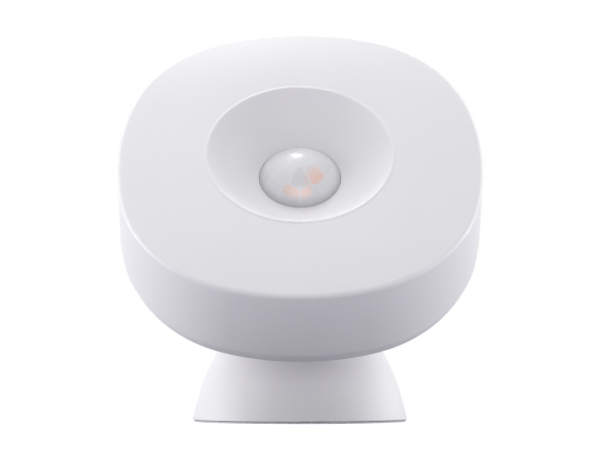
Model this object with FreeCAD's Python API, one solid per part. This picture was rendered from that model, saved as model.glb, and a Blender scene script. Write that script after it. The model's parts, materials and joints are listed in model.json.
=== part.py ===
"""Battery motion sensor: a rounded-square head held by a magnetic ball on a small bell-shaped stand.

Frame: millimetres, +Z up, origin on the table at the centre of the foot, the head faces -Y.
The head is modelled about the centre of the ball with its own +Z out of the face, then leaned back.
"""
import FreeCAD, Part
import os
from math import asin, atan, atan2, cos, degrees, hypot, pi, radians, sin, sqrt, tan

V = FreeCAD.Vector
UP = V(0, 0, 1)

# ---- driving dimensions -------------------------------------------------------------------------
# where the head is
pivot_height = 22.8          # centre of the ball above the table
lean_back = 54.0             # degrees between straight up and the way the face looks
face_to_pivot = 30.2

# outline of the head: four flat side arcs and four tight corner arcs, all tangent
head_half = 27.9
side_radius = 41.0
corner_radius = 22.3

# front housing
seam_depth = 13.5            # from the face back to the seam
wall = 1.6
face_thickness = 2.0
draft = 0.6                  # how much narrower the face is than the seam, each side
crown = 0.7                  # how far the face rises from its edge to the dish
crown_inset = 13.4           # the face is flat inside this inset from the outline
face_edge_radius = 0.75
dish_radius = 13.75
dish_depth = 5.45
dish_curve = 18.0            # radius of the dish's hollow profile
dish_wall = 1.5
lip_width = 0.55
lip_height = 0.10

# lens
lens_radius = 6.12
lens_rise = 3.1
lens_wall = 0.55
lens_hole = lens_radius + 0.12
lens_flange_radius = 7.4
lens_flange_thickness = 0.5
retainer_radius = 7.55
retainer_bore = 5.7
retainer_height = 0.8
retainer_seat_radius = 9.0   # housing wall round the flange and the retainer
retainer_seat_bore = 7.6

# rear cover
head_thickness = 23.5
seam_gap = 0.10
seam_step = 0.25             # the rear cover is this much smaller at the seam
cover_wall = 1.5
cover_edge_radius = 4.8
cover_slope = 44.0           # degrees that the cover's flanks turn in
cover_back_radius = 5.0
spigot_inset = 1.9
spigot_wall = 1.0
spigot_height = 2.9

# ball joint
ball_radius = 8.5
ball_gap = 0.10
cup_thickness = 0.5
ball_flat = 6.0              # flat under the ball, below its centre
stem_radius = 3.0
magnet_radius = 4.9

# detector, standing on the board
can_radius = 4.15
can_rim_radius = 4.6
can_bore = 3.9
can_height = 4.2
can_rim_bottom = 0.4
can_rim_top = 0.65
header_radius = 3.85
header_height = 1.2
window_size = (4.8, 3.8, 0.4)
window_opening = (4.0, 3.0)
substrate_size = (3.4, 2.8, 0.6)
element_size = (1.0, 2.0, 0.2)
element_spacing = 1.9
lead_circle = 2.54
lead_radius = 0.225

# electronics, as depths behind the face
board_depth = 11.5
board_thickness = 1.0
board_inset = 4.0
tray_depth = 13.1
tray_floor = 0.8
tray_inset = 4.2
cell_radius = 12.25
cell_height = 5.0
cell_depth = 14.2
pocket_wall = 1.0
pocket_gap = 0.35
boss_offset = 14.5
boss_radius = 2.4
pilot_radius = 1.0
board_screw_offset = 19.5
board_screw_radius = 0.78
tray_screw_radius = 0.97
guide_offset = 18.5          # light guide and status light, above the lens
guide_radius = 1.2
guide_cover = 1.0            # skin of the face left over the light guide
led_height = 0.9
radio_offset = -17.0
radio_board_size = (14.0, 9.0, 0.8)
shield_offset = -1.5
shield_size = (9.0, 7.6, 1.8)
shield_wall = 0.2
antenna_size = (1.2, 5.0, 1.0)
chip_place = (-12.5, 3.0)
chip_size = (5.0, 5.0, 0.9)
chip_lead_pitch = 0.5
passive_size = (1.6, 0.8, 0.8)
switch_size = (4.2, 3.2)
plunger_radius = 0.9

# pairing button
button_offset = 15.9
button_radius = 1.9
button_flange = 2.6
button_proud = 0.3
stem_gap = 0.02

# stand
foot_radius = 17.35
foot_curve = 36.5            # radius of the bell's flank
foot_lean = 11.0             # degrees that the flank leans in at the foot
neck_height = 18.0
shell_wall = 1.8
foot_datum = 0.6             # height at which the flank has the foot's radius and lean
shell_lift = 0.30            # the shell's lower edge above the table
foot_edge = 0.15
pad_radius = 17.1
pad_thickness = 0.25
plate_radius = 14.2
plate_top = 2.9
lug_radius = 15.0
lug_angle = 24.0
stop_angle = 5.0
lug_bottom = 1.6
twist_angle = 25.0
plate_hole_radius = 1.75
plate_hole_offset = 8.0
swivel_boss_bottom = 9.5
swivel_boss_radius = 5.2
ceiling_height = 14.0
ballast_post_radius = 1.9
ballast_radius = 12.5
ballast_bore = 6.0
ballast_bottom = 4.4
ballast_top = 8.4
ballast_screw_offset = 8.6

# foot of the bell's flank arc, from which its centre follows
flank_centre = (foot_radius - foot_curve * cos(radians(foot_lean)),
                foot_datum - foot_curve * sin(radians(foot_lean)))

# ---- heights in the head's own frame (its +Z looks out of the face, zero at the ball's centre) ----
face_z = face_to_pivot
seam_z = face_z - seam_depth
back_z = face_z - head_thickness
lens_seat_z = face_z - dish_depth
board_z = face_z - board_depth
board_back_z = board_z - board_thickness
tray_top_z = face_z - tray_depth
tray_bottom_z = tray_top_z - tray_floor
cell_top_z = face_z - cell_depth
cell_bottom_z = cell_top_z - cell_height
cover_floor_z = back_z + cover_wall
switch_height = 2.0
switch_bottom_z = board_back_z - switch_height
plunger_end_z = switch_bottom_z - 1.28
lens_flange_z = lens_seat_z - dish_wall
guide_top_z = face_z - guide_cover
can_top_z = board_z + can_height


# ---- drawing helpers ----------------------------------------------------------------------------
def section_point(point):
    return V(point[0], 0, point[1])


def section(start, *steps):
    """Flat face in the XZ plane; a step is a corner (r, z) or, for an arc, a pair (middle, end)."""
    edges = []
    here = start
    for step in steps:
        if isinstance(step[0], tuple):
            middle, there = step
            arc = Part.Arc(section_point(here), section_point(middle), section_point(there))
            edges.append(arc.toShape())
        else:
            there = step
            edges.append(Part.makeLine(section_point(here), section_point(there)))
        here = there
    edges.append(Part.makeLine(section_point(here), section_point(start)))
    return Part.Face(Part.Wire(edges))


def turned(start, *steps):
    """Solid of revolution about Z."""
    return section(start, *steps).revolve(V(0, 0, 0), UP, 360)


def on_arc(centre, radius, angle):
    """Point at an angle in degrees, measured from the first axis towards the second."""
    return (centre[0] + radius * cos(radians(angle)), centre[1] + radius * sin(radians(angle)))


def rounded(before, corner, after, radius):
    """The two steps that replace a corner with a tangent arc."""
    def towards(target):
        length = hypot(target[0] - corner[0], target[1] - corner[1])
        return ((target[0] - corner[0]) / length, (target[1] - corner[1]) / length)
    a = towards(before)
    b = towards(after)
    half = atan2(abs(a[0] * b[1] - a[1] * b[0]), a[0] * b[0] + a[1] * b[1]) / 2
    reach = radius / tan(half)
    first = (corner[0] + a[0] * reach, corner[1] + a[1] * reach)
    last = (corner[0] + b[0] * reach, corner[1] + b[1] * reach)
    bisector = (a[0] + b[0], a[1] + b[1])
    length = hypot(*bisector)
    to_middle = radius / sin(half) - radius
    middle = (corner[0] + bisector[0] / length * to_middle, corner[1] + bisector[1] / length * to_middle)
    return [first, (middle, last)]


def outline_arcs():
    """Centre, radius, first angle and sweep of the eight tangent arcs round the head."""
    side_centre = head_half - side_radius
    link = side_radius - corner_radius
    corner_centre = (side_centre + sqrt(2 * link ** 2 - side_centre ** 2)) / 2
    side_half = degrees(asin(corner_centre / link))
    arcs = []
    for quarter in range(4):
        turn = 90.0 * quarter
        along = V(cos(radians(turn)), sin(radians(turn)), 0)
        across = V(-along.y, along.x, 0)
        arcs.append((along * side_centre, side_radius, turn - side_half, 2 * side_half))
        corner = (along + across) * corner_centre
        arcs.append((corner, corner_radius, turn + side_half, 90 - 2 * side_half))
    return arcs


OUTLINE = outline_arcs()


def outline_prism(inset, bottom, top):
    """Upright block whose outline is the head's, moved in by the inset."""
    edges = [Part.makeCircle(radius - inset, centre + V(0, 0, bottom), UP, first, first + sweep)
             for centre, radius, first, sweep in OUTLINE]
    return Part.Face(Part.Wire(edges)).extrude(V(0, 0, top - bottom))


def outline_ring(start, *steps):
    """Ring that follows the head's outline; the section is drawn as (inset, z)."""
    def moved(step, radius):
        if isinstance(step[0], tuple):
            return tuple(moved(point, radius) for point in step)
        return (radius - step[0], step[1])
    pieces = []
    for centre, radius, first, sweep in OUTLINE:
        flat = section(*[moved(step, radius) for step in (start,) + steps])
        piece = flat.revolve(V(0, 0, 0), UP, sweep)
        piece.rotate(V(0, 0, 0), UP, first)
        piece.translate(centre)
        pieces.append(piece)
    return pieces[0].fuse(pieces[1:]).removeSplitter()


def outline_block(bottom, top, core_inset, *edge_steps):
    """Solid block with a moulded edge: a straight core and a shaped ring round it."""
    ring = outline_ring((core_inset, bottom), *edge_steps, (core_inset, top))
    return ring.fuse(outline_prism(core_inset, bottom, top)).removeSplitter()


def box(centre_x, centre_y, bottom, size_x, size_y, size_z):
    corner = V(centre_x - size_x / 2, centre_y - size_y / 2, bottom)
    return Part.makeBox(size_x, size_y, size_z, corner)


def rod(x, y, bottom, top, radius):
    return Part.makeCylinder(radius, top - bottom, V(x, y, bottom), UP)


def tube(x, y, bottom, top, outer, inner):
    return rod(x, y, bottom, top, outer).cut(rod(x, y, bottom, top, inner))


def ball(radius):
    return Part.makeSphere(radius)


def joined(shape, others):
    return shape.fuse(others).removeSplitter()


def cap_middle(radius, edge_height, rise):
    """Point halfway along the arc of a spherical cap, from its edge to its top on the axis."""
    sphere = (radius ** 2 + rise ** 2) / (2 * abs(rise))
    half = asin(radius / sphere) / 2
    way = 1 if rise > 0 else -1
    return (sphere * sin(half), edge_height + rise - way * sphere * (1 - cos(half)))


def pan_screw(x, y, seat, tip, shank_radius, head_radius, head_height):
    """Domed screw with a cross recess; its head is on the far side of the seat from the tip."""
    way = 1 if seat > tip else -1
    shank = rod(x, y, min(seat, tip), max(seat, tip), shank_radius)
    top = seat + way * head_height
    crown = way * head_height * 0.45
    head = turned((0, seat), (head_radius, seat), (head_radius, top - crown),
                  (cap_middle(head_radius, top - crown, crown), (0, top)))
    head.translate(V(x, y, 0))
    slot = head_radius * 0.36
    depth = head_height * 0.55
    bottom = min(top, top - way * depth)
    recess = box(x, y, bottom, head_radius * 1.1, slot, depth)
    recess = recess.fuse(box(x, y, bottom, slot, head_radius * 1.1, depth))
    return shank.fuse(head).removeSplitter().cut(recess)


# ---- head: front assembly -----------------------------------------------------------------------
def dish_section(offset):
    """Rim point, middle point and lens-side point of the dish's hollow profile, moved out by an offset."""
    run = dish_radius - lens_hole
    chord = hypot(run, dish_depth)
    slope = atan2(dish_depth, run)
    sagitta = dish_curve - sqrt(dish_curve ** 2 - (chord / 2) ** 2)
    middle = (lens_hole + run / 2 + sin(slope) * sagitta, face_z - dish_depth / 2 - cos(slope) * sagitta)
    centre = (middle[0] - sin(slope) * dish_curve, middle[1] + cos(slope) * dish_curve)
    spread = asin(chord / 2 / dish_curve)
    base = slope - pi / 2
    return [on_arc(centre, dish_curve + offset, degrees(base + way * spread)) for way in (1, 0, -1)]


def face_profile():
    """Outside of the housing as (inset, z): side wall, small edge, then a long arc up to the flat middle."""
    run = crown_inset - draft
    curve = (run ** 2 + crown ** 2) / (2 * crown)
    centre = (crown_inset, face_z - curve)
    slope = asin(run / curve)
    edge = (draft, face_z - crown)
    inward = (edge[0] + cos(slope), edge[1] + sin(slope))
    first, corner_arc = rounded((0, seam_z), edge, inward, face_edge_radius)
    middle = on_arc(centre, curve, 90 + degrees(slope) / 2)
    return [(0, seam_z), first, corner_arc, (middle, (crown_inset, face_z))]


def housing_shell():
    """The moulded shell: the crowned outer block, less the room inside."""
    lean = atan(draft / seam_depth)
    outer = outline_block(seam_z, face_z, crown_inset + 0.1, *face_profile())
    inner_core = 9.0
    inner_edge_radius = 1.0
    inner_top = face_z - face_thickness
    below = seam_z - 1.0
    inner_foot = (wall - tan(lean), below)
    inner = outline_block(below, inner_top, inner_core, inner_foot,
                          *rounded(inner_foot, (wall + draft, inner_top), (inner_core, inner_top),
                                   inner_edge_radius))
    return outer.cut(inner)


def front_housing():
    root = face_z - 0.5
    overlap = 0.2
    rim, middle, bottom = dish_section(0)
    under_rim, under_middle, under_bottom = dish_section(dish_wall)
    bowl = turned((0, lens_flange_z), (under_bottom[0], lens_flange_z), under_bottom,
                  (under_middle, under_rim), (under_rim[0], root), (0, root))
    lip_top = (rim[0] + lip_width / 2, face_z + lip_height)
    lip_inside = rim[0] - 0.6
    lip = turned((lip_inside, root), (rim[0] + lip_width, root), (rim[0] + lip_width, face_z),
                 (lip_top, rim), (lip_inside, face_z))
    hollow = turned((0, bottom[1]), bottom, (middle, rim), (rim[0], face_z + 1), (0, face_z + 1))
    seat_top = lens_flange_z + 1.3
    seat_bottom = lens_flange_z - lens_flange_thickness - retainer_height - 0.1
    retainer_wall = tube(0, 0, seat_bottom, seat_top, retainer_seat_radius, retainer_seat_bore)
    flange_seat = rod(0, 0, lens_flange_z, seat_top, retainer_seat_bore + overlap)
    under_face = face_z - face_thickness
    bosses = [rod(x, y, tray_top_z, under_face + overlap, boss_radius) for x, y in screw_places()]
    guide_bore = guide_radius + 0.1
    guide_sleeve = tube(0, guide_offset, board_z + 5.0, under_face + overlap, guide_bore + 1.0, guide_bore)
    shell = joined(housing_shell(), [bowl, lip, retainer_wall, flange_seat, guide_sleeve] + bosses)
    shell = shell.cut([hollow, rod(0, 0, lens_flange_z - 2, face_z, lens_hole)])
    pilots = [rod(x, y, tray_top_z - 1, tray_top_z + 7.0, pilot_radius) for x, y in screw_places()]
    guide_pocket = rod(0, guide_offset, under_face - 1, guide_top_z + 0.1, guide_bore)
    return shell.cut(pilots + [guide_pocket])


def screw_places():
    return [(x * boss_offset, y * boss_offset) for x in (-1, 1) for y in (-1, 1)]


def fresnel_lens():
    ball_r = (lens_radius ** 2 + lens_rise ** 2) / (2 * lens_rise)
    centre = (0, lens_seat_z + lens_rise - ball_r)
    edge = degrees(atan2(lens_seat_z - centre[1], lens_radius))
    inner_r = ball_r - lens_wall
    inner_radius = lens_radius - lens_wall
    inner_edge = degrees(atan2(sqrt(inner_r ** 2 - inner_radius ** 2), inner_radius))
    flange_bottom = lens_flange_z - lens_flange_thickness
    return turned(
        (inner_radius, flange_bottom), (lens_flange_radius, flange_bottom),
        (lens_flange_radius, lens_flange_z), (lens_radius, lens_flange_z), (lens_radius, lens_seat_z),
        (on_arc(centre, ball_r, (90 + edge) / 2), (0, centre[1] + ball_r)), (0, centre[1] + inner_r),
        (on_arc(centre, inner_r, (90 + inner_edge) / 2), on_arc(centre, inner_r, inner_edge)))


def lens_retainer():
    top = lens_flange_z - lens_flange_thickness
    bottom = top - retainer_height
    notch_width = 1.2
    notch_depth = 0.4
    ring = tube(0, 0, bottom, top, retainer_radius, retainer_bore)
    return ring.cut(box(0, 0, bottom, 3 * retainer_bore, notch_width, notch_depth))


def pir_can():
    rim_top = board_z + can_rim_top
    inside_top = can_top_z - 0.25
    can = turned((can_bore, rim_top), (can_radius, rim_top),
                 *rounded((can_radius, rim_top), (can_radius, can_top_z), (0, can_top_z), 0.35),
                 (0, can_top_z), (0, inside_top), (can_bore, inside_top))
    rim = tube(0, 0, board_z + can_rim_bottom, rim_top + 0.01, can_rim_radius, can_bore)
    opening = box(0, 0, can_top_z - 1, *window_opening, 2)
    return joined(can, [rim]).cut(opening)


def pir_window():
    width, height, thickness = window_size
    return box(0, 0, can_top_z - 0.25 - thickness, width, height, thickness)


def pir_lead_places():
    return [on_arc((0, 0), lead_circle, angle) for angle in (0, 90, 180)]


def pir_header():
    rim = rod(0, 0, board_z, board_z + can_rim_bottom, can_rim_radius)
    header = joined(rim, [rod(0, 0, board_z + can_rim_bottom, board_z + header_height, header_radius)])
    lead_hole = lead_radius + 0.035
    return header.cut([rod(x, y, board_z - 1, board_z + 2, lead_hole) for x, y in pir_lead_places()])


def pir_substrate():
    return box(0, 0, board_z + header_height, *substrate_size)


def pir_elements():
    bottom = board_z + header_height + substrate_size[2]
    return [box(way * element_spacing / 2, 0, bottom, *element_size) for way in (-1, 1)]


def pir_leads():
    return [rod(x, y, board_back_z - 0.5, board_z + header_height, lead_radius)
            for x, y in pir_lead_places()]


def light_guide():
    foot = board_z + led_height + 0.15
    flange_radius = guide_radius + 0.4
    shoulder = foot + 0.8
    guide = turned((0, foot), (flange_radius, foot), (flange_radius, shoulder),
                   (guide_radius, shoulder), (guide_radius, guide_top_z), (0, guide_top_z))
    return guide.translated(V(0, guide_offset, 0))


def status_led():
    base_height = 0.4
    base = box(0, guide_offset, board_z, 2.0, 1.25, base_height)
    lens = box(0, guide_offset, board_z + base_height, 1.3, 1.25, led_height - base_height)
    return joined(base, [lens])


def main_circuit_board():
    board = outline_prism(board_inset, board_back_z, board_z)
    bottom = board_back_z - 1
    top = board_z + 1
    holes = [rod(x, y, bottom, top, boss_radius + 0.3) for x, y in screw_places()]
    holes += [rod(x, y, bottom, top, 0.4) for x, y in pir_lead_places()]
    holes += [rod(x, 0, bottom, top, 0.95) for x in board_screw_places()]
    return board.cut(holes)


def board_screw_places():
    return (-board_screw_offset, board_screw_offset)


def board_screws():
    tip = tray_bottom_z - 1.2
    return [pan_screw(x, 0, board_z, tip, board_screw_radius, 1.5, 1.0) for x in board_screw_places()]


def radio_board():
    """Daughter board with half-round pads along its two short edges."""
    width = radio_board_size[0]
    board = box(0, radio_offset, board_z, *radio_board_size)
    pads = [rod(way * width / 2, radio_offset + 1.5 * step, board_z - 1, board_z + 2, 0.4)
            for way in (-1, 1) for step in range(-2, 3)]
    return board.cut(pads)


def radio_shield():
    bottom = board_z + radio_board_size[2]
    width, depth, height = shield_size
    lid = box(shield_offset, radio_offset, bottom, width, depth, height)
    uprights = [edge for edge in lid.Edges if abs(edge.tangentAt(edge.FirstParameter).z) > 0.9]
    lid = lid.makeFillet(0.6, uprights)
    inside = height - shield_wall + 1
    return lid.cut(box(shield_offset, radio_offset, bottom - 1, width - 2 * shield_wall,
                       depth - 2 * shield_wall, inside))


def chip_antenna():
    return box(5.0, radio_offset, board_z + radio_board_size[2], *antenna_size)


def signal_chip():
    x, y = chip_place
    width, depth, height = chip_size
    standoff = 0.05
    package = box(x, y, board_z + standoff, width, depth, height)
    dot = rod(x - 1.8, y + 1.8, board_z + 0.8, board_z + 1, 0.3)
    leads = [box(x, y + chip_lead_pitch * step, board_z, width + 0.5, 0.25, 0.2) for step in range(-4, 5)]
    return joined(package.cut(dot), leads)


def board_passives():
    """Rows of small two-ended parts: first place, step to the next, and how many."""
    rows = [((10.5, -6.0), (0, 2), 3), ((13.0, 5.0), (0, 2), 3), ((-13.0, -7.5), (2, 0), 3),
            ((6.5, 13.0), (2, 0), 2), ((-7.0, 13.0), (0, 0), 1)]
    return [box(x + step * across, y + step * along, board_z, *passive_size)
            for (x, y), (across, along), count in rows for step in range(count)]


def tact_switch():
    body = box(0, button_offset, switch_bottom_z, *switch_size, switch_height)
    return body.cut(rod(0, button_offset, switch_bottom_z - 1, switch_bottom_z + 1.0, plunger_radius + 0.1))


def switch_plunger():
    top = switch_bottom_z + 0.5
    bevel = 0.15
    plunger = turned((0, plunger_end_z), (plunger_radius - bevel, plunger_end_z),
                     (plunger_radius, plunger_end_z + bevel), (plunger_radius, top), (0, top))
    return plunger.translated(V(0, button_offset, 0))


def battery_tray():
    pocket_bore = cell_radius + pocket_gap
    floor = outline_prism(tray_inset, tray_bottom_z, tray_top_z)
    pocket = tube(0, 0, cell_bottom_z + 1.2, tray_bottom_z, pocket_bore + pocket_wall, pocket_bore)
    posts = [rod(x, 0, tray_bottom_z - 1.6, board_back_z, 1.9) for x in board_screw_places()]
    ledges = [box(0, y, tray_top_z, 8.0, 1.0, board_back_z - tray_top_z) for y in (-20.5, 22.0)]
    tray = joined(floor, [pocket] + posts + ledges)
    below = tray_bottom_z - 1
    switch_window = box(0, button_offset, below, switch_size[0] + 0.8, switch_size[1] + 0.8, 3)
    screw_holes = [rod(x, y, below, tray_top_z + 1, 1.2) for x, y in screw_places()]
    post_holes = [rod(x, 0, below - 2, board_back_z + 1, board_screw_radius + 0.04)
                  for x in board_screw_places()]
    contact_slot = box(cell_radius + 0.9, 0, cell_bottom_z, 1.9, 5.6, cell_height + 4)
    finger_notch = box(0, -cell_radius, cell_bottom_z, 9.0, 4.0, 3.4)
    tab_slot = box(0, -9.1, below, 3.4, 0.7, 3)
    return tray.cut([switch_window, contact_slot, finger_notch, tab_slot] + screw_holes + post_holes)


def coin_cell():
    """Positive can with a rounded lower edge, and the smaller negative cap on top."""
    can_top = cell_top_z - 0.45
    groove = can_top - 0.15
    groove_outer = 10.9
    cap_radius = 10.5
    return turned((0, cell_bottom_z),
                  *rounded((0, cell_bottom_z), (cell_radius, cell_bottom_z), (cell_radius, cell_top_z), 0.7),
                  *rounded((cell_radius, cell_bottom_z), (cell_radius, can_top), (0, can_top), 0.5),
                  (groove_outer, can_top), (groove_outer, groove), (cap_radius, groove),
                  *rounded((cap_radius, cell_bottom_z), (cap_radius, cell_top_z), (0, cell_top_z), 0.3),
                  (0, cell_top_z))


def bowed_strip(length, width, thickness, bow):
    """Sheet strip along X whose middle third bows down by the given amount."""
    third = length / 6
    top = [(-length / 2, 0), (-third, 0), ((0, -bow), (third, 0)), (length / 2, 0)]
    low = [(length / 2, -thickness), (third, -thickness),
           ((0, -bow - thickness), (-third, -thickness)), (-length / 2, -thickness)]
    strip = section(*(top + low)).extrude(V(0, width, 0))
    strip.translate(V(0, -width / 2, 0))
    return strip


def negative_contact():
    """Bowed strip on the tray's floor, with a tab up to the board."""
    thickness = 0.12
    strip = bowed_strip(16.0, 3.0, thickness, 0.14)
    strip.rotate(V(0, 0, 0), UP, 90)
    strip.translate(V(0, -1.0, tray_bottom_z))
    tab = box(0, -9.0, tray_bottom_z - thickness, 3.0, 0.15, board_back_z - tray_bottom_z + thickness)
    return joined(strip, [tab])


def positive_contact():
    """Bowed strip that presses on the rim of the cell."""
    height = board_back_z - cell_bottom_z - 0.8
    strip = bowed_strip(height, 5.0, 0.15, 0.28)
    strip.rotate(V(0, 0, 0), V(0, 1, 0), 90)
    strip.translate(V(cell_radius + 0.48, 0, board_back_z - height / 2))
    return strip


def tray_screws():
    tip = tray_top_z + 6.0
    return [pan_screw(x, y, tray_bottom_z, tip, tray_screw_radius, 1.9, 1.2) for x, y in screw_places()]


# ---- head: rear assembly ------------------------------------------------------------------------
def cover_edge(thickness, top):
    """Outer or inner edge section of the rear cover: rounded band, sloping flank, rounded back."""
    centre = (seam_step + cover_edge_radius, seam_z - seam_gap)
    radius = cover_edge_radius - thickness
    def band(angle):
        return on_arc(centre, radius, 180 + angle)
    flank = band(cover_slope)
    floor = back_z + thickness
    corner = (flank[0] + (flank[1] - floor) * tan(radians(cover_slope)), floor)
    back = rounded(flank, corner, (corner[0] + 9, floor), cover_back_radius - thickness)
    first, (middle, last) = back
    steps = [last, (middle, first), flank, (band(cover_slope / 2), band(0))]
    if top > band(0)[1]:
        steps.append((band(0)[0], top))
    return steps


def rear_cover():
    top = seam_z - seam_gap
    outer = outline_block(back_z, top, 12.0, *cover_edge(0, top))
    inner_top = top + 1.0
    inner = outline_block(cover_floor_z, inner_top, 12.5, *cover_edge(cover_wall, inner_top))
    shell = outer.cut(inner)
    spigot_root = (0.9, top - 1.8)
    spigot_back = spigot_inset + spigot_wall
    spigot_top = top + spigot_height
    spigot = outline_ring(spigot_root, (spigot_root[0], top), (spigot_inset, top), (spigot_inset, spigot_top),
                          (spigot_back, spigot_top), (spigot_back, spigot_root[1]))
    cup_outside = ball_radius + ball_gap + cup_thickness
    seat_wall = 0.92
    below = Part.makeBox(40, 40, 20, V(-20, -20, back_z - 20))
    seat = ball(cup_outside + seat_wall).cut(below)
    button_guide = tube(0, button_offset, cover_floor_z - 0.2, cover_floor_z + 1.9, 3.5, button_flange + 0.15)
    shell = joined(shell, [spigot, seat, button_guide])
    hole = rod(0, button_offset, back_z - 1, cover_floor_z + 1, button_radius + 0.15)
    return shell.cut([ball(cup_outside + 0.02), hole])


def seat_cup():
    """Pressed steel cup that lines the socket in the rear cover."""
    inner = ball_radius + ball_gap
    outer = inner + cup_thickness
    rim_z = back_z + 0.05
    inner_rim = degrees(asin(rim_z / inner))
    outer_rim = degrees(asin(rim_z / outer))
    return turned(
        (0, inner), (on_arc((0, 0), inner, (90 + inner_rim) / 2), on_arc((0, 0), inner, inner_rim)),
        on_arc((0, 0), outer, outer_rim), (on_arc((0, 0), outer, (90 + outer_rim) / 2), (0, outer)))


def pairing_button():
    """Cap in the rear cover, the flange that keeps it there, and the stem that reaches the switch."""
    end = back_z - button_proud
    flange_low = cover_floor_z + 0.06
    flange_top = flange_low + 0.6
    stem = 1.3
    stem_top = plunger_end_z - stem_gap
    button = turned((0, end), *rounded((0, end), (button_radius, end), (button_radius, flange_low), 0.35),
                    (button_radius, flange_low), (button_flange, flange_low), (button_flange, flange_top),
                    (stem, flange_top), (stem, stem_top), (0, stem_top))
    return button.translated(V(0, button_offset, 0))


# ---- stand (drawn with its own zero on the table) -------------------------------------------------
def flank_radius(height, offset=0.0):
    """Radius of the bell's flank at a height, moved in by an offset."""
    return flank_centre[0] + sqrt((foot_curve - offset) ** 2 - (height - flank_centre[1]) ** 2)


def flank_middle(low, high, offset=0.0):
    height = (low + high) / 2
    return (flank_radius(height, offset), height)


def stand_shell():
    foot = (flank_radius(shell_lift), shell_lift)
    above_foot = (flank_radius(shell_lift + 2), shell_lift + 2)
    first, (middle, last) = rounded((0, shell_lift), foot, above_foot, foot_edge)
    edge_end = (flank_radius(last[1]), last[1])
    outer = turned((0, shell_lift), first, (middle, edge_end),
                   (flank_middle(last[1], neck_height), (flank_radius(neck_height), neck_height)),
                   (0, neck_height))
    seat_bore = ball(ball_radius + ball_gap).translated(V(0, 0, pivot_height))
    below = shell_lift - 1
    clear_of_plate = plate_radius + 0.2
    clear_of_ballast = ballast_radius + 0.2
    lip_top = lug_bottom - 0.1
    groove_radius = lug_radius + 0.15
    rib_bottom = plate_top + 0.1
    rib_top = rib_bottom + 1.2
    cavity = turned((0, below), (clear_of_plate, below), (clear_of_plate, lip_top), (groove_radius, lip_top),
                    (groove_radius, rib_bottom), (clear_of_ballast, rib_bottom), (clear_of_ballast, rib_top),
                    (flank_radius(rib_top, shell_wall), rib_top),
                    (flank_middle(rib_top, ceiling_height, shell_wall),
                     (flank_radius(ceiling_height, shell_wall), ceiling_height)),
                    (0, ceiling_height))
    into_ceiling = ceiling_height + 0.4
    swivel_boss = rod(0, 0, swivel_boss_bottom, into_ceiling, swivel_boss_radius)
    posts = [rod(x, y, ballast_top, into_ceiling, ballast_post_radius) for x, y in ballast_screw_places()]
    stops = [lug_sector(clear_of_plate, groove_radius + 0.1, lip_top - 0.1, rib_bottom + 0.1, stop_angle,
                        third * 120 + way * (lug_angle + stop_angle + 1) / 2 + (way > 0) * twist_angle)
             for third in range(3) for way in (-1, 1)]
    entries = [lug_sector(clear_of_plate - 0.1, groove_radius, below, lip_top + 0.1, lug_angle + 1,
                          third * 120 + twist_angle) for third in range(3)]
    bore = rod(0, 0, swivel_boss_bottom - 1, neck_height, stem_radius + 0.05)
    floor_of_seat = rod(0, 0, pivot_height - ball_flat - ball_gap, neck_height, 6.15)
    pilots = [rod(x, y, ballast_top - 1, ceiling_height - 1, 0.95) for x, y in ballast_screw_places()]
    shell = outer.cut(cavity)
    shell = joined(shell, [swivel_boss] + posts + stops)
    return shell.cut([seat_bore, bore, floor_of_seat] + entries + pilots)


def lug_sector(inner, outer, bottom, top, angle, middle):
    """Ring sector about Z, centred on an angle in degrees."""
    flat = section((inner, bottom), (outer, bottom), (outer, top), (inner, top))
    piece = flat.revolve(V(0, 0, 0), UP, angle)
    piece.rotate(V(0, 0, 0), UP, middle - angle / 2)
    return piece


def ballast_screw_places():
    return [on_arc((0, 0), ballast_screw_offset, angle) for angle in (30, 150, 270)]


def ballast_ring():
    ring = tube(0, 0, ballast_bottom, ballast_top, ballast_radius, ballast_bore)
    cuts = [rod(x, y, ballast_bottom - 1, ballast_top + 1, 1.15) for x, y in ballast_screw_places()]
    cuts += [rod(x, y, ballast_bottom - 1, ballast_bottom + 1.3, 2.2) for x, y in ballast_screw_places()]
    return ring.cut(cuts)


def ballast_screws():
    return [pan_screw(x, y, ballast_bottom + 1.3, ballast_top + 3.4, 0.92, 1.9, 1.1)
            for x, y in ballast_screw_places()]


def base_plate():
    plate = rod(0, 0, pad_thickness, plate_top, plate_radius)
    lugs = [lug_sector(plate_radius - 0.5, lug_radius, lug_bottom, plate_top, lug_angle, third * 120)
            for third in range(3)]
    plate = joined(plate, lugs)
    holes = []
    for x in (-plate_hole_offset, plate_hole_offset):
        holes.append(rod(x, 0, 0, plate_top + 1, plate_hole_radius))
        holes.append(Part.makeCone(plate_hole_radius, 3.4, 1.3, V(x, 0, plate_top - 1.3), UP))
    return plate.cut(holes)


def foot_pad():
    pad = rod(0, 0, 0, pad_thickness, pad_radius)
    return pad.cut([rod(x, 0, -1, pad_thickness + 1, 3.0) for x in (-plate_hole_offset, plate_hole_offset)])


def mount_ball():
    flat_z = -ball_flat
    below = Part.makeBox(40, 40, 20, V(-20, -20, flat_z - 20))
    body = ball(ball_radius).cut(below)
    return body.cut(rod(0, 0, flat_z - 1, 4.2, magnet_radius + 0.05)).translated(V(0, 0, pivot_height))


def ball_magnet():
    return rod(0, 0, pivot_height - 3.4, pivot_height + 4.1, magnet_radius)


def ball_stem():
    """Turned plug that closes the ball and carries it in the stand's boss."""
    top = pivot_height - 3.45
    shoulder = pivot_height - ball_flat
    end = swivel_boss_bottom + 0.1
    plug = turned((0, top), (magnet_radius, top), (magnet_radius, shoulder), (stem_radius, shoulder),
                  (stem_radius, end), (0, end))
    return plug.cut(rod(0, 0, end - 1, end + 6.5, 1.53))


def ball_screw():
    return pan_screw(0, 0, swivel_boss_bottom - 0.1, swivel_boss_bottom + 5.6, 1.5, 4.4, 2.0)


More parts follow.
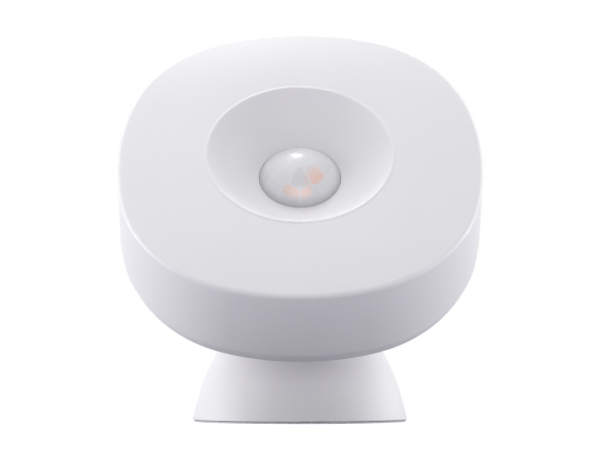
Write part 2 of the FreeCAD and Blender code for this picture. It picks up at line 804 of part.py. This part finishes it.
# ---- placing and writing ------------------------------------------------------------------------
def in_head(shape):
    """Leans a piece of the head back about the ball's centre and lifts it to the ball."""
    shape.rotate(V(0, 0, 0), V(1, 0, 0), lean_back)
    shape.translate(V(0, 0, pivot_height))
    return shape


HEAD_PIECES = [
    front_housing, fresnel_lens, lens_retainer, pir_can, pir_window, pir_header, pir_substrate, pir_elements,
    pir_leads, light_guide, status_led, main_circuit_board, board_screws, radio_board, radio_shield,
    chip_antenna, signal_chip, board_passives, tact_switch, switch_plunger, battery_tray, coin_cell,
    negative_contact, positive_contact, tray_screws, rear_cover, seat_cup, pairing_button,
]
STAND_PIECES = [
    stand_shell, ballast_ring, ballast_screws, base_plate, foot_pad, mount_ball, ball_magnet, ball_stem,
    ball_screw,
]


def write(name, shape):
    if isinstance(shape, list):
        shape = Part.makeCompound(shape)
    loose = [solid for solid in shape.Solids if not solid.isValid()]
    print(f"{name}: {len(shape.Solids)} solids, {shape.Volume:.1f} mm3{', INVALID' if loose else ''}")
    shape.exportStep(f"parts/{name}.step")


os.makedirs("parts", exist_ok=True)
for make in HEAD_PIECES:
    made = make()
    if isinstance(made, list):
        write(make.__name__, [in_head(piece) for piece in made])
    else:
        write(make.__name__, in_head(made))
for make in STAND_PIECES:
    write(make.__name__, make())
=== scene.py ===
"""Looks of a battery motion sensor: procedural materials, a faceted lens, soft studio light and a camera.

Units are metres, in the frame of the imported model. Lengths given in millimetres are multiplied by MM.
"""

import json
import math
import random

import bpy
from mathutils import Matrix, Vector


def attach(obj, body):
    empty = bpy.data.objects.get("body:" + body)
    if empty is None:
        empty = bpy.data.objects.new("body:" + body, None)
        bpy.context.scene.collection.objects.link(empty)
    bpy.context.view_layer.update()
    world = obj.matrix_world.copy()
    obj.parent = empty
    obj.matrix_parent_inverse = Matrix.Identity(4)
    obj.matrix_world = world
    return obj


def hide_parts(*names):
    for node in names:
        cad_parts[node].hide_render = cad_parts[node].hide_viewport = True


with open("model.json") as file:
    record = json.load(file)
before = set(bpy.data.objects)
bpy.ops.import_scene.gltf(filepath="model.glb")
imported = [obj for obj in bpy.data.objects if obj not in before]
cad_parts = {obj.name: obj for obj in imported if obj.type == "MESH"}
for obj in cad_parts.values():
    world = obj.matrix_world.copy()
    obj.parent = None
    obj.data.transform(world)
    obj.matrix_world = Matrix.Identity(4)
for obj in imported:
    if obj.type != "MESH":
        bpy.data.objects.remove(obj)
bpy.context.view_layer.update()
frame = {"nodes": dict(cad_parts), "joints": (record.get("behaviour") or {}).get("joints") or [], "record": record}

MM = 0.001
NODES = frame["nodes"]
JOINTS = {joint["name"]: joint for joint in frame["joints"]}
RECORD = frame["record"]

# ---- the head's own frame ------------------------------------------------------------------------
PIVOT = Vector(JOINTS["tilt"]["pos_m"])
FACING = Vector(JOINTS["cover_release"]["axis"]).normalized()
ACROSS = Vector((1, 0, 0))
UPWARD = FACING.cross(ACROSS)
HEAD = Matrix.Translation(PIVOT) @ Matrix((ACROSS, UPWARD, FACING)).transposed().to_4x4()


def reach_along_facing(node):
    """Nearest and furthest reach of a node along the way the face looks, from the ball's centre."""
    reach = [(vertex.co - PIVOT).dot(FACING) for vertex in NODES[node].data.vertices]
    return min(reach), max(reach)


# ---- camera ---------------------------------------------------------------------------------------
CAMERA_PLACE = Vector((0, -261.43, 6.12)) * MM
CAMERA_PITCH = 5.48
CAMERA_LENS = 96.1
CAMERA_SENSOR = 36.0


def add_camera():
    data = bpy.data.cameras.new("camera")
    data.lens = CAMERA_LENS
    data.sensor_width = CAMERA_SENSOR
    data.sensor_fit = "HORIZONTAL"
    data.clip_start = 1 * MM
    data.clip_end = 20
    camera = bpy.data.objects.new("camera", data)
    camera.location = CAMERA_PLACE
    camera.rotation_euler = (math.radians(90 + CAMERA_PITCH), 0, 0)
    bpy.context.scene.collection.objects.link(camera)
    bpy.context.scene.camera = camera


# ---- node helpers ---------------------------------------------------------------------------------
class Graph:
    """A material's node tree, with short calls for the nodes that are used here."""

    def __init__(self, name):
        self.material = bpy.data.materials.new(name)
        self.material.use_nodes = True
        self.tree = self.material.node_tree
        self.shader = self.tree.nodes["Principled BSDF"]
        self.place = self.add("ShaderNodeTexCoord").outputs["Object"]

    def add(self, kind, **settings):
        node = self.tree.nodes.new(kind)
        for key, value in settings.items():
            setattr(node, key, value)
        return node

    def feed(self, socket, value):
        if isinstance(value, bpy.types.NodeSocket):
            self.tree.links.new(value, socket)
        else:
            socket.default_value = value

    def colour(self, socket, value):
        self.feed(socket, value if isinstance(value, bpy.types.NodeSocket) else (*value, 1.0))

    def noise(self, scale, detail=2.0, roughness=0.5, place=None):
        node = self.add("ShaderNodeTexNoise")
        self.feed(node.inputs["Vector"], place or self.place)
        node.inputs["Scale"].default_value = scale
        node.inputs["Detail"].default_value = detail
        node.inputs["Roughness"].default_value = roughness
        return node.outputs["Fac"]

    def cells(self, scale, output="Distance", distance="EUCLIDEAN", place=None):
        node = self.add("ShaderNodeTexVoronoi", feature="F1", distance=distance)
        self.feed(node.inputs["Vector"], place or self.place)
        node.inputs["Scale"].default_value = scale
        return node.outputs[output]

    def spread(self, value, low, high, to_low=0.0, to_high=1.0):
        node = self.add("ShaderNodeMapRange", clamp=True)
        self.feed(node.inputs["Value"], value)
        for key, number in (("From Min", low), ("From Max", high), ("To Min", to_low), ("To Max", to_high)):
            node.inputs[key].default_value = number
        return node.outputs["Result"]

    def maths(self, operation, first, second=0.0):
        node = self.add("ShaderNodeMath", operation=operation)
        self.feed(node.inputs[0], first)
        self.feed(node.inputs[1], second)
        return node.outputs[0]

    def mix(self, factor, first, second):
        """Blend of two colours; the node has several sockets named A and B, so the colours go by number."""
        node = self.add("ShaderNodeMix", data_type="RGBA")
        self.feed(node.inputs["Factor"], factor)
        self.colour(node.inputs[6], first)
        self.colour(node.inputs[7], second)
        return node.outputs[2]

    def split(self, vector, kind="ShaderNodeSeparateXYZ"):
        node = self.add(kind)
        self.feed(node.inputs[0], vector)
        return node.outputs

    def painted(self, name):
        """A value that the mesh carries on its points."""
        return self.add("ShaderNodeAttribute", attribute_name=name).outputs["Fac"]

    def head_place(self):
        """Position in the head's own frame: +Z out of the face, zero at the ball's centre."""
        node = self.add("ShaderNodeMapping", vector_type="TEXTURE")
        self.feed(node.inputs["Vector"], self.place)
        node.inputs["Location"].default_value = PIVOT
        node.inputs["Rotation"].default_value = HEAD.to_euler()
        return node.outputs["Vector"]

    def stretched(self, scale, place=None):
        node = self.add("ShaderNodeMapping")
        self.feed(node.inputs["Vector"], place or self.place)
        node.inputs["Scale"].default_value = scale
        return node.outputs["Vector"]

    def bump(self, height, depth, strength=0.5):
        node = self.add("ShaderNodeBump")
        node.inputs["Strength"].default_value = strength
        node.inputs["Distance"].default_value = depth
        self.feed(node.inputs["Height"], height)
        self.feed(self.shader.inputs["Normal"], node.outputs["Normal"])

    def base(self, value):
        self.colour(self.shader.inputs["Base Color"], value)

    def set(self, **values):
        for key, value in values.items():
            self.feed(self.shader.inputs[key.replace("_", " ")], value)


def darker(tint, share):
    return tuple(channel * share for channel in tint)


# ---- materials ------------------------------------------------------------------------------------
def shell_plastic(name, tint, roughness=0.45):
    """Moulded white plastic with the fine spark-eroded texture of a small appliance case."""
    g = Graph(name)
    g.base(g.mix(g.spread(g.noise(45, 3), 0.35, 0.65), darker(tint, 0.98), tint))
    g.set(Roughness=g.spread(g.noise(900, 3), 0.3, 0.7, roughness - 0.05, roughness + 0.05),
          Subsurface_Weight=0.05, Subsurface_Radius=(0.0012, 0.0011, 0.0010), Subsurface_Scale=1.0)
    g.bump(g.maths("ADD", g.noise(5200, 2, 0.6), g.noise(14000, 1)), 4e-6, 0.35)
    return g.material


def moulded_plastic(name, tint, roughness=0.5):
    """Plain inner moulding or moulded epoxy, unevenly matte."""
    g = Graph(name)
    g.base(g.mix(g.spread(g.noise(160, 4), 0.3, 0.7), darker(tint, 0.82), tint))
    g.set(Roughness=g.spread(g.noise(700, 3), 0.3, 0.7, roughness - 0.08, roughness + 0.08))
    g.bump(g.noise(3800, 3, 0.6), 8e-6)
    return g.material


def foam_rubber(name, tint):
    """Soft pad with open pores."""
    g = Graph(name)
    pores = g.cells(2600)
    # painted shade: the pores are painted darker inside
    g.base(g.mix(g.spread(pores, 0.1, 0.5), darker(tint, 0.7), tint))
    g.set(Roughness=g.spread(g.noise(1200, 3), 0.3, 0.7, 0.75, 0.92))
    g.bump(g.maths("ADD", pores, g.noise(6000, 2)), 4e-5, 0.6)
    return g.material


def metal(name, tint, roughness, stretch=(1, 1, 0.05), lines=2600, depth=4e-6):
    """Metal with fine drawn lines and a slightly uneven polish."""
    g = Graph(name)
    drawn = g.noise(lines, 3, 0.7, g.stretched(stretch))
    g.base(g.mix(g.spread(g.noise(260, 4), 0.3, 0.7), darker(tint, 0.85), tint))
    g.set(Metallic=1.0, Roughness=g.spread(drawn, 0.3, 0.7, roughness * 0.75, roughness * 1.3))
    g.bump(drawn, depth)
    return g.material


def turned_metal(name, tint, roughness, rings=9000):
    """Turned or pressed metal: fine rings about the head's axis."""
    g = Graph(name)
    x, y, z = g.split(g.head_place())[:3]
    radius = g.maths("SQRT", g.maths("ADD", g.maths("MULTIPLY", x, x), g.maths("MULTIPLY", y, y)))
    wave = g.maths("SINE", g.maths("MULTIPLY", radius, rings))
    g.base(g.mix(g.spread(g.noise(300, 4), 0.3, 0.7), darker(tint, 0.88), tint))
    g.set(Metallic=1.0, Roughness=g.spread(wave, -1, 1, roughness * 0.8, roughness * 1.2))
    g.bump(g.maths("ADD", wave, g.noise(5000, 2)), 3e-6)
    return g.material


def gloss_part(name, tint, spots, roughness=0.25):
    """Glazed ceramic or tinted optical piece with faint mottling."""
    g = Graph(name)
    g.base(g.mix(g.spread(g.cells(spots), 0.1, 0.6), darker(tint, 0.75), tint))
    g.set(Roughness=g.spread(g.noise(900, 3), 0.3, 0.7, roughness * 0.7, roughness * 1.3), Coat_Weight=0.4)
    g.bump(g.noise(2500, 2), 5e-6)
    return g.material


def tinned_ends(name, tint):
    """Small surface-mounted parts: a tan body between two bright tinned ends."""
    g = Graph(name)
    x = g.split(g.head_place())[0]
    along = g.maths("ABSOLUTE", g.maths("SUBTRACT", g.maths("FRACT", g.maths("DIVIDE", x, 0.5 * MM)), 0.5))
    ends = g.maths("GREATER_THAN", along, 0.36)
    g.base(g.mix(ends, g.mix(g.noise(900), darker(tint, 0.7), tint), (0.75, 0.75, 0.76)))
    g.set(Metallic=ends, Roughness=g.spread(g.noise(1500), 0.3, 0.7, 0.3, 0.5))
    g.bump(g.noise(4000, 2), 8e-6)
    return g.material


def circuit_board(name, mask):
    """Solder mask over copper tracks: broken straight runs on a grid, with small plated holes."""
    g = Graph(name)
    place = g.head_place()
    x, y = g.split(place)[:2]
    tracks = []
    for across, scale, channel in ((x, 190, 0), (y, 230, 1)):
        stripe = g.maths("FRACT", g.maths("DIVIDE", across, 1.1 * MM))
        line = g.maths("LESS_THAN", g.maths("ABSOLUTE", g.maths("SUBTRACT", stripe, 0.5)), 0.16)
        patches = g.split(g.cells(scale, "Color", "CHEBYCHEV", place), "ShaderNodeSeparateColor")[channel]
        tracks.append(g.maths("MULTIPLY", line, g.maths("GREATER_THAN", patches, 0.52)))
    track = g.maths("MAXIMUM", *tracks)
    holes = g.maths("LESS_THAN", g.cells(420, place=place), 0.10)
    g.base(g.mix(holes, g.mix(track, mask, (0.10, 0.34, 0.20)), (0.78, 0.70, 0.50)))
    g.set(Metallic=g.maths("MULTIPLY", holes, 0.9), Coat_Weight=0.3, Coat_Roughness=0.2,
          Roughness=g.spread(g.noise(900, 3), 0.3, 0.7, 0.28, 0.4))
    g.bump(g.maths("ADD", track, g.noise(2200, 2)), 2e-5, 0.4)
    return g.material


def clear_plastic(name, tint):
    """Clear light guide with a faintly uneven surface."""
    g = Graph(name)
    g.base(g.mix(g.noise(400), darker(tint, 0.94), tint))
    g.set(Roughness=g.spread(g.noise(1500), 0.3, 0.7, 0.04, 0.14), Transmission_Weight=0.92, IOR=1.49)
    g.bump(g.noise(900, 2), 1e-5, 0.3)
    return g.material


def milky_lens(name, tint):
    """Milky lens plastic: moulded cells show as soft patches of painted light and shade with painted lighter
    edges, standing in for the light through their inner facets; a painted shade darkens the lens towards its edge;
    some cells show the warm detector behind them.
    """
    g = Graph(name)
    # painted light and shade: each cell's tone and its lighter edges stand in for light through the inner facets
    cell = g.mix(g.painted("shade"), darker(tint, 0.84), tint)
    border_lit = g.mix(g.maths("MULTIPLY", g.painted("border_light"), 0.32), cell, (0.88, 0.88, 0.91))
    # painted shade: the lens darkens towards its edge, where it meets the dark gap it sits in
    rim_shaded = g.mix(g.maths("MULTIPLY", g.painted("rim"), 0.75), border_lit, darker(tint, 0.42))
    g.base(g.mix(g.painted("warm"), rim_shaded, (0.96, 0.62, 0.50)))
    g.set(Roughness=g.spread(g.noise(300, 2), 0.3, 0.7, 0.28, 0.32), IOR=1.5, Coat_Weight=0.7,
          Coat_Roughness=0.26)
    return g.material


SLOT_MATERIALS = {
    "shell_white": lambda n: shell_plastic(n, (0.835, 0.828, 0.845)),
    "lens_milky": lambda n: milky_lens(n, (0.80, 0.795, 0.825)),
    "inner_black": lambda n: moulded_plastic(n, (0.03, 0.03, 0.032)),
    "tray_grey": lambda n: moulded_plastic(n, (0.22, 0.225, 0.24)),
    "detector_metal": lambda n: metal(n, (0.80, 0.70, 0.52), 0.28),
    "window_dark": lambda n: gloss_part(n, (0.07, 0.045, 0.055), 700, 0.12),
    "element_ceramic": lambda n: gloss_part(n, (0.72, 0.45, 0.26), 1800),
    "board_green": lambda n: circuit_board(n, (0.02, 0.16, 0.085)),
    "chip_black": lambda n: moulded_plastic(n, (0.02, 0.02, 0.022), 0.6),
    "ceramic_white": lambda n: gloss_part(n, (0.80, 0.78, 0.72), 1500),
    "part_tan": lambda n: tinned_ends(n, (0.42, 0.28, 0.16)),
    "clear_plastic": lambda n: clear_plastic(n, (0.93, 0.96, 0.98)),
    "tin_steel": lambda n: metal(n, (0.72, 0.72, 0.73), 0.32, (0.05, 1, 1)),
    "spring_nickel": lambda n: metal(n, (0.80, 0.77, 0.70), 0.22, (1, 0.05, 1)),
    "screw_zinc": lambda n: metal(n, (0.60, 0.61, 0.63), 0.34),
    "cell_steel": lambda n: turned_metal(n, (0.78, 0.78, 0.79), 0.24),
    "cup_steel": lambda n: turned_metal(n, (0.60, 0.61, 0.63), 0.28, 6000),
    "ball_chrome": lambda n: metal(n, (0.80, 0.80, 0.82), 0.10, (1, 1, 1), 900, 1e-6),
    "magnet_nickel": lambda n: metal(n, (0.66, 0.66, 0.67), 0.18, (1, 1, 1), 1800, 3e-6),
    "stem_steel": lambda n: metal(n, (0.62, 0.62, 0.64), 0.25, (0.05, 0.05, 1), 3000),
    "ballast_iron": lambda n: metal(n, (0.20, 0.20, 0.21), 0.5, (1, 1, 1), 1400, 2e-5),
    "plate_white": lambda n: shell_plastic(n, (0.78, 0.78, 0.79), 0.5),
    "pad_grey": lambda n: foam_rubber(n, (0.80, 0.80, 0.81)),
    "button_grey": lambda n: shell_plastic(n, (0.74, 0.74, 0.755), 0.4),
}


def dress_frame():
    """Every CAD piece gets the material of its slot."""
    made = {slot: make(slot) for slot, make in SLOT_MATERIALS.items()}
    for part in RECORD["subparts"]:
        mesh = NODES[part["node"]].data
        mesh.materials.clear()
        mesh.materials.append(made[part["material_slot"]])
    return made


# ---- lens -----------------------------------------------------------------------------------------
LENS_RADIUS = 6.19 * MM
LENS_RISE = 3.1 * MM
LENS_WALL = 0.55 * MM
SKIRT_DEPTH = 1.5 * MM
SKIRT_CORNER = LENS_WALL / 3
FLANGE_RADIUS = 7.4 * MM
FLANGE_THICKNESS = 0.5 * MM
FLANGE_CORNER = 0.1 * MM
LENS_SEAT = reach_along_facing("fresnel_lens")[1] - LENS_RISE
RING_STEPS = 240
ARC_STEPS = 72

# moulded cells: rings as (degrees from the cells' axis, number of cells, degrees of the first one)
CELL_TILT = 9.0
CELL_RINGS = ((0, 1, 0.0), (28, 9, 30.0), (50, 12, 15.0), (72, 18, 0.0))
CELL_WANDER = 1.6
CELL_SEED = 5
# tone of each cell in turn: painted light and shade standing in for light through the inner facets
CELL_SHADES = (0.85, 0.6, 0.8, 0.45, 0.7, 0.95, 0.9, 0.35, 0.65, 0.75, 0.5, 0.9, 0.6, 0.8, 0.4)
OUTER_RELIEF = 0.05 * MM
INNER_RELIEF = 0.09 * MM

# widths beside the line between two cells, as the difference in radians of the way to their centres
BORDER_WIDTH = 0.09
GROOVE_ROUND = 0.10
BLEND_WIDTH = 0.07

# warm patches: (cell, strength, degrees that the glow grows towards, where it starts, where it is full)
WARM_CELLS = ((8, 0.70, -40, -0.26, 0.10), (7, 0.30, 0, 0.0, 0.16), (18, 0.55, 0, -0.18, 0.02),
              (19, 0.60, 180, -0.05, 0.06))
WARM_CLEAR = 0.05

# degrees from the lens's axis between which the warmth ends, the cells fade and the painted shade darkens the lens
# towards its edge
WARM_FULL = 38.0
WARM_END = 46.0
FADE_FROM = 47.0
FADE_TO = 54.0
RIM_SHADE_FROM = 41.0
RIM_SHADE_TO = 58.0


def cell_direction(azimuth, polar):
    """A direction in the head's frame, from angles in degrees about the cells' leaning axis."""
    turn = math.radians(azimuth)
    tip = math.radians(polar)
    way = Vector((math.sin(tip) * math.cos(turn), math.sin(tip) * math.sin(turn), math.cos(tip)))
    return Matrix.Rotation(math.radians(-CELL_TILT), 3, "X") @ way


def cell_centres():
    """Directions of the lens's moulded cells: one on their axis and slightly uneven rings about it."""
    wander = random.Random(CELL_SEED)
    centres = []
    for polar, count, first in CELL_RINGS:
        for step in range(count):
            azimuth = first + 360 * step / count
            reach = CELL_WANDER if polar else 0.0
            centres.append(cell_direction(azimuth + 2 * wander.uniform(-reach, reach),
                                          polar + wander.uniform(-reach, reach)))
    return centres


def smoothstep(low, high, value):
    t = min(max((value - low) / (high - low), 0.0), 1.0)
    return t * t * (3 - 2 * t)


def warmth(direction, cell, centres):
    """How much of the warm detector shows through one cell at one direction."""
    for index, strength, towards, low, high in WARM_CELLS:
        if cell == index:
            turn = math.radians(towards)
            slide = (direction - centres[cell]).dot(Vector((math.cos(turn), math.sin(turn), 0)))
            return strength * smoothstep(low, high, slide)
    return 0.0


def cell_values(direction, centres):
    """What the moulded cells do at one direction: how deep it dips, its painted lighter cell edge, its painted
    cell tone and its warmth.
    """
    by_angle = sorted((direction.angle(centre), index) for index, centre in enumerate(centres))
    (near, cell), (second, other) = by_angle[:2]
    gap = second - near
    edge = 0.5 * (1 - smoothstep(0, BLEND_WIDTH, gap))
    shades = [CELL_SHADES[index % len(CELL_SHADES)] for index in (cell, other)]
    shade = shades[0] * (1 - edge) + shades[1] * edge
    warm = warmth(direction, cell, centres) * smoothstep(0, WARM_CLEAR, gap)
    border_light = 1 - smoothstep(0, BORDER_WIDTH, gap)
    return near / (near + math.hypot(gap, GROOVE_ROUND) / 2), border_light, shade, warm


def lens_profile():
    """Half section of the lens as (radius, height above the seat), and the height of the dome's centre."""
    ball = (LENS_RADIUS ** 2 + LENS_RISE ** 2) / (2 * LENS_RISE)
    inner_ball = ball - LENS_WALL
    inner_radius = LENS_RADIUS - LENS_WALL
    centre = LENS_RISE - ball
    edge = math.asin(LENS_RADIUS / ball)
    inner_edge = math.asin(inner_radius / inner_ball)
    flange_top = -SKIRT_DEPTH
    flange_bottom = flange_top - FLANGE_THICKNESS
    outer = [(ball * math.sin(edge * step / ARC_STEPS), centre + ball * math.cos(edge * step / ARC_STEPS))
             for step in range(ARC_STEPS + 1)]
    skirt = [(LENS_RADIUS, -SKIRT_DEPTH / 4), (LENS_RADIUS, flange_top + SKIRT_CORNER),
             (LENS_RADIUS + SKIRT_CORNER, flange_top), (FLANGE_RADIUS - FLANGE_CORNER, flange_top),
             (FLANGE_RADIUS, flange_top - FLANGE_CORNER), (FLANGE_RADIUS, flange_bottom + FLANGE_CORNER),
             (FLANGE_RADIUS - FLANGE_CORNER, flange_bottom), (inner_radius, flange_bottom)]
    inner = [(inner_ball * math.sin(inner_edge * step / ARC_STEPS),
              centre + inner_ball * math.cos(inner_edge * step / ARC_STEPS))
             for step in range(ARC_STEPS, -1, -1)]
    return outer, skirt, inner, centre


def add_lens():
    """Milky dome: shallow cushions outside, the same cells cut deeper inside, with a skirt and flange."""
    centres = cell_centres()
    outer, skirt, inner, middle = lens_profile()
    rows = outer + skirt + inner
    points = []
    paint = {"border_light": [], "shade": [], "warm": [], "rim": []}
    loops = []
    for row, (radius, height) in enumerate(rows):
        inside = row >= len(outer) + len(skirt)
        dome = inside or row < len(outer)
        count = RING_STEPS if radius else 1
        loops.append(range(len(points), len(points) + count))
        for step in range(count):
            turn = 2 * math.pi * step / RING_STEPS
            place = Vector((radius * math.cos(turn), radius * math.sin(turn), height))
            spoke = place - Vector((0, 0, middle))
            direction = spoke.normalized()
            polar = math.degrees(direction.angle(Vector((0, 0, 1)))) if dome else 90.0
            dip, border_light, shade, warm = cell_values(direction, centres)
            fade = 1 - smoothstep(FADE_FROM, FADE_TO, polar)
            relief = INNER_RELIEF if inside else -OUTER_RELIEF
            place += direction * relief * dip ** 2 * fade
            points.append(HEAD @ (place + Vector((0, 0, LENS_SEAT))))
            # painted light and shade on the lens: lighter edges between cells and the cells' tones
            paint["border_light"].append(border_light * fade)
            paint["shade"].append(0.5 + (shade - 0.5) * fade)
            paint["warm"].append(warm * (1 - smoothstep(WARM_FULL, WARM_END, polar)))
            # painted shade towards the lens's edge
            paint["rim"].append(smoothstep(RIM_SHADE_FROM, RIM_SHADE_TO, polar))
    faces = []
    for upper, lower in zip(loops, loops[1:]):
        for step in range(RING_STEPS):
            after = (step + 1) % RING_STEPS
            ends = [upper[step % len(upper)], lower[step % len(lower)],
                    lower[after % len(lower)], upper[after % len(upper)]]
            faces.append(list(dict.fromkeys(ends)))
    mesh = bpy.data.meshes.new("lens_dome")
    mesh.from_pydata(points, [], faces)
    for name, values in paint.items():
        mesh.attributes.new(name, "FLOAT", "POINT").data.foreach_set("value", values)
    mesh.validate()
    mesh.shade_smooth()
    lens = bpy.data.objects.new("lens_dome", mesh)
    bpy.context.scene.collection.objects.link(lens)
    lens.data.materials.append(MADE["lens_milky"])
    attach(lens, "front")
    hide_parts("fresnel_lens")


# ---- stage ----------------------------------------------------------------------------------------
TENT_TINT = (1.0, 0.995, 1.0)
TENT_LEVEL = 1.16
TENT_FROM = 0.2
MIRRORED_LEVEL = 0.75

# softboxes: (name, place, what it aims at, size, power in watts)
SOFTBOXES = (
    ("over", (-0.04, 0.04, 0.26), (0, -0.03, 0.04), (0.16, 0.16), 0.158),
    ("behind", (0.0, 0.25, 0.35), (0, -0.03, 0.045), (0.4, 0.2), 1.115),
    ("front", (0.0, -0.60, 0.10), (0, -0.02, 0.03), (0.5, 0.18), 0.74),
    ("side_left", (-0.20, -0.04, 0.03), (0, -0.02, 0.03), (0.2, 0.055), 0.20),
    ("side_right", (0.20, -0.04, 0.03), (0, -0.02, 0.03), (0.2, 0.055), 0.13),
    ("back_left", (-0.30, 0.12, 0.08), (0, -0.02, 0.03), (0.25, 0.14), 0.086),
    ("back_right", (0.30, 0.12, 0.08), (0, -0.02, 0.03), (0.25, 0.14), 0.210),
    ("glint", (-0.040, 0.158, 0.455), (0, -0.021, 0.04), (0.07, 0.13), 0.60),
)
NOT_MIRRORED = ("over", "behind")
ONLY_MIRRORED = ("glint",)

FLOOR_HALF = 1.5
FLOOR_TINT = (0.20, 0.195, 0.215)
FLOOR_GLOW = 1.02
BOUNCE_TINT = (1.0, 0.97, 1.10)
FLOOR_BOUNCE = 0.30
SHADE_BOUNCE = 0.11
SHADE_FROM = 0.02
SHADE_TO = 0.09


def add_world():
    """White to the camera and light grey in reflections; otherwise a sky that brightens towards overhead."""
    world = bpy.data.worlds.new("tent")
    world.use_nodes = True
    tree = world.node_tree
    tree.nodes.clear()
    parts = tree.nodes.new("ShaderNodeSeparateXYZ")
    tree.links.new(tree.nodes.new("ShaderNodeTexCoord").outputs["Generated"], parts.inputs[0])
    ramp = tree.nodes.new("ShaderNodeMapRange")
    ramp.interpolation_type = "SMOOTHSTEP"
    ramp.inputs["From Min"].default_value = TENT_FROM
    ramp.inputs["To Max"].default_value = TENT_LEVEL
    tree.links.new(parts.outputs["Z"], ramp.inputs["Value"])
    tent = tree.nodes.new("ShaderNodeBackground")
    tent.inputs["Color"].default_value = (*TENT_TINT, 1)
    tree.links.new(ramp.outputs["Result"], tent.inputs["Strength"])
    path = tree.nodes.new("ShaderNodeLightPath")
    seen = tent.outputs[0]
    for ray, level in (("Is Glossy Ray", MIRRORED_LEVEL), ("Is Camera Ray", 1.0)):
        plain = tree.nodes.new("ShaderNodeBackground")
        plain.inputs["Color"].default_value = (1, 1, 1, 1)
        plain.inputs["Strength"].default_value = level
        choose = tree.nodes.new("ShaderNodeMixShader")
        tree.links.new(path.outputs[ray], choose.inputs[0])
        tree.links.new(seen, choose.inputs[1])
        tree.links.new(plain.outputs[0], choose.inputs[2])
        seen = choose.outputs[0]
    out = tree.nodes.new("ShaderNodeOutputWorld")
    tree.links.new(seen, out.inputs["Surface"])
    bpy.context.scene.world = world


def add_softbox(name, place, aim, size, power):
    """Soft light that the camera doesn't see."""
    data = bpy.data.lights.new(name, "AREA")
    data.shape = "RECTANGLE"
    data.size, data.size_y = size
    data.energy = power
    lamp = bpy.data.objects.new(name, data)
    lamp.location = place
    lamp.rotation_euler = (Vector(aim) - Vector(place)).to_track_quat("-Z", "Y").to_euler()
    lamp.visible_camera = False
    lamp.visible_glossy = name not in NOT_MIRRORED
    lamp.visible_diffuse = name not in ONLY_MIRRORED
    bpy.context.scene.collection.objects.link(lamp)


def add_floor():
    """Pale table: white to the camera, with a dim bounce to the object that is weaker in its shade."""
    corners = [(x * FLOOR_HALF, y * FLOOR_HALF, 0) for x, y in ((-1, -1), (1, -1), (1, 1), (-1, 1))]
    mesh = bpy.data.meshes.new("floor")
    mesh.from_pydata(corners, [], [(0, 1, 2, 3)])
    floor = bpy.data.objects.new("floor", mesh)
    bpy.context.scene.collection.objects.link(floor)
    material = bpy.data.materials.new("floor")
    material.use_nodes = True
    tree = material.node_tree
    tree.nodes.clear()
    diffuse = tree.nodes.new("ShaderNodeBsdfDiffuse")
    diffuse.inputs["Color"].default_value = (*FLOOR_TINT, 1)
    distance = tree.nodes.new("ShaderNodeVectorMath")
    distance.operation = "LENGTH"
    tree.links.new(tree.nodes.new("ShaderNodeTexCoord").outputs["Object"], distance.inputs[0])
    # painted shadow: the bounce is painted weaker near the floor's centre, beneath the object
    shade = tree.nodes.new("ShaderNodeMapRange")
    shade.interpolation_type = "SMOOTHSTEP"
    for key, number in (("From Min", SHADE_FROM), ("From Max", SHADE_TO), ("To Min", SHADE_BOUNCE),
                        ("To Max", FLOOR_BOUNCE)):
        shade.inputs[key].default_value = number
    tree.links.new(distance.outputs["Value"], shade.inputs["Value"])
    choose = tree.nodes.new("ShaderNodeMapRange")
    choose.inputs["To Max"].default_value = FLOOR_GLOW
    tree.links.new(tree.nodes.new("ShaderNodeLightPath").outputs["Is Camera Ray"], choose.inputs["Value"])
    tree.links.new(shade.outputs["Result"], choose.inputs["To Min"])
    glow = tree.nodes.new("ShaderNodeEmission")
    glow.inputs["Color"].default_value = (*BOUNCE_TINT, 1)
    tree.links.new(choose.outputs["Result"], glow.inputs["Strength"])
    both = tree.nodes.new("ShaderNodeAddShader")
    tree.links.new(diffuse.outputs[0], both.inputs[0])
    tree.links.new(glow.outputs[0], both.inputs[1])
    out = tree.nodes.new("ShaderNodeOutputMaterial")
    tree.links.new(both.outputs[0], out.inputs["Surface"])
    mesh.materials.append(material)


# ---- the scene ------------------------------------------------------------------------------------
add_camera()
MADE = dress_frame()
add_lens()
add_world()
for box in SOFTBOXES:
    add_softbox(*box)
add_floor()
bpy.context.scene.view_settings.view_transform = "Standard"
bpy.context.scene.view_settings.look = "None"
